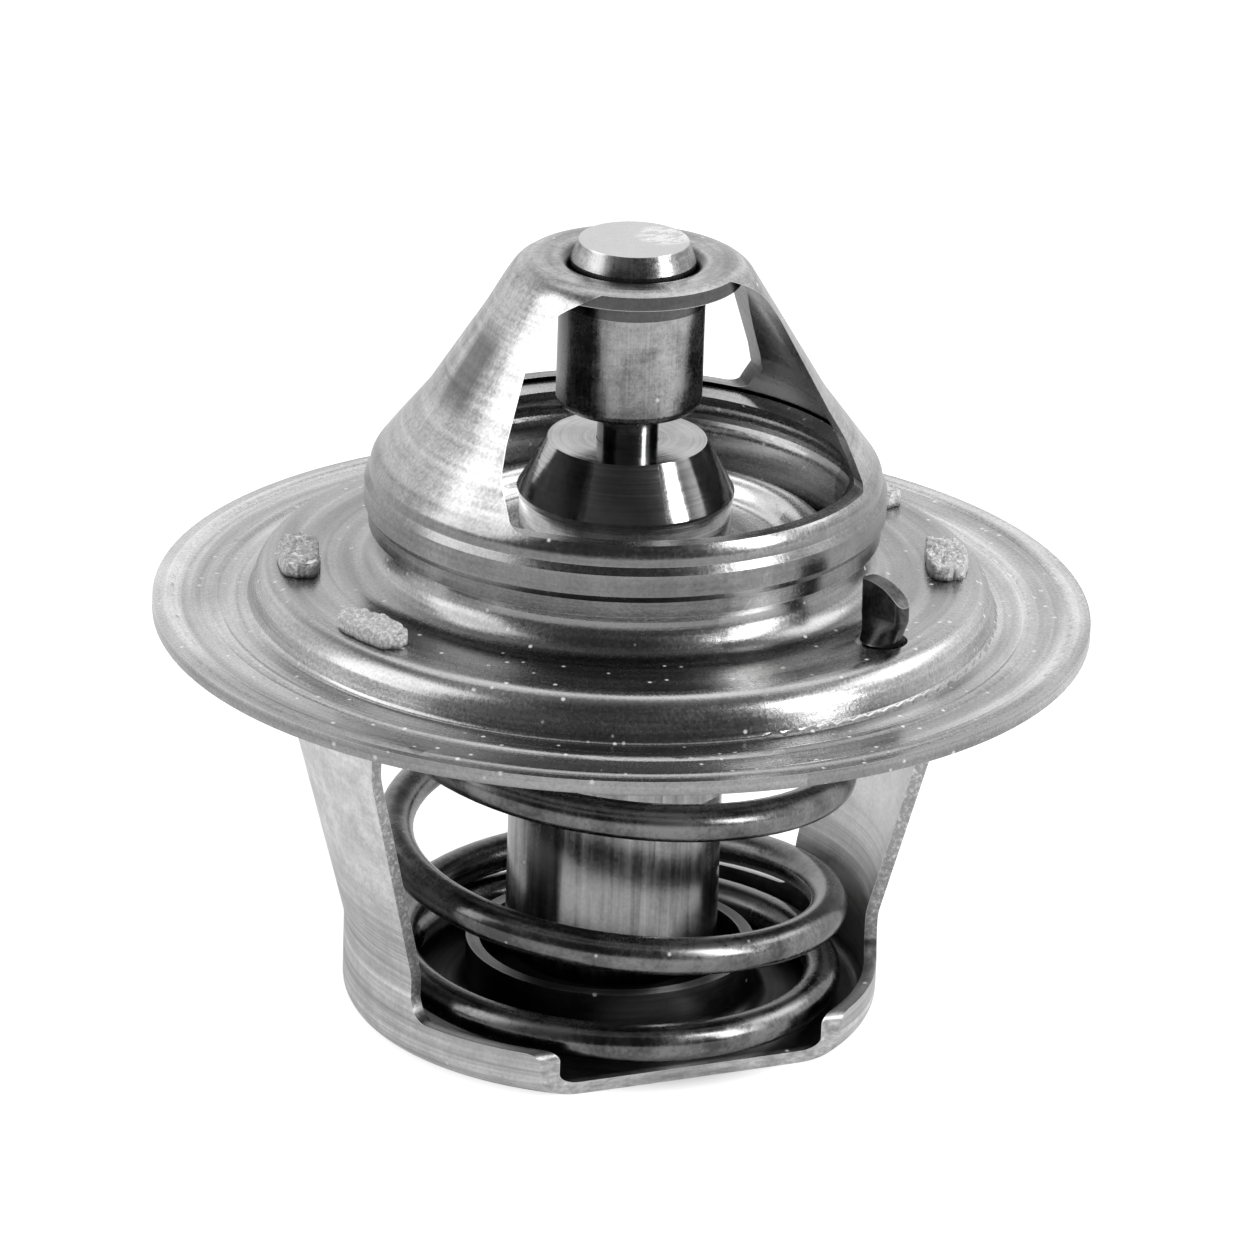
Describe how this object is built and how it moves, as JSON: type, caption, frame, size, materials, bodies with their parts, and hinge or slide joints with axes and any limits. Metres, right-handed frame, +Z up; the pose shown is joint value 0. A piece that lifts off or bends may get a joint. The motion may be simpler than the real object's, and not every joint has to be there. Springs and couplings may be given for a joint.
{
  "type": "engine coolant thermostat",
  "caption": "Wax-element engine thermostat with a recessed round flange, windowed upper bridge, spring-loaded valve plate and a strap frame below.",
  "frame": {"origin": "centre of the flange's rim, in its upper face", "axes": "+Z up along the axis, away from the lower frame; X through the legs of the bridge and of the lower frame; the windows face Y"},
  "size_m": [0.048, 0.048, 0.0416],
  "materials": {
    "flange_steel": "pressed sheet steel, satin with fine scratches",
    "bridge_steel": "drawn sheet steel, bright with burred window edges",
    "turned_steel": "turned steel, fine rings and smudges",
    "ground_steel": "ground and polished",
    "polished_steel": "turned and polished to a mirror",
    "cup_steel": "drawn, satin, with streaks along the axis",
    "plate_steel": "pressed, satin",
    "frame_steel": "pale matte pressed steel with worn edges",
    "spring_wire": "drawn wire, glossy above and worn below",
    "vent_metal": "pinched metal, dull",
    "black_rubber": "moulded",
    "wax": "set wax",
    "white_plastic": "cut from sheet"
  },
  "bodies": {
    "frame": {"flange": "flange_steel", "upper_bridge": "bridge_steel", "piston_seat": "turned_steel", "piston": "ground_steel", "anti_extrusion_washer": "white_plastic", "lower_frame": "frame_steel", "spring": "spring_wire"},
    "valve": {"element_guide": "polished_steel", "element_cup": "cup_steel", "wax_charge": "wax", "diaphragm": "black_rubber", "rubber_plug": "black_rubber", "valve_plate": "plate_steel"},
    "vent": {"vent_pin": "vent_metal"}
  },
  "joints": [
    {"name": "valve_lift", "type": "slide", "parent": "frame", "child": "valve", "axis": [0, 0, -1], "range_m": [0, 0.008], "stiffness_N_per_m": 4000, "springref_m": -0.0005, "deforming": ["spring"]},
    {"name": "vent_rise", "type": "slide", "parent": "frame", "child": "vent", "axis": [0, 0, 1], "range_m": [0, 0.0009]}
  ]
}
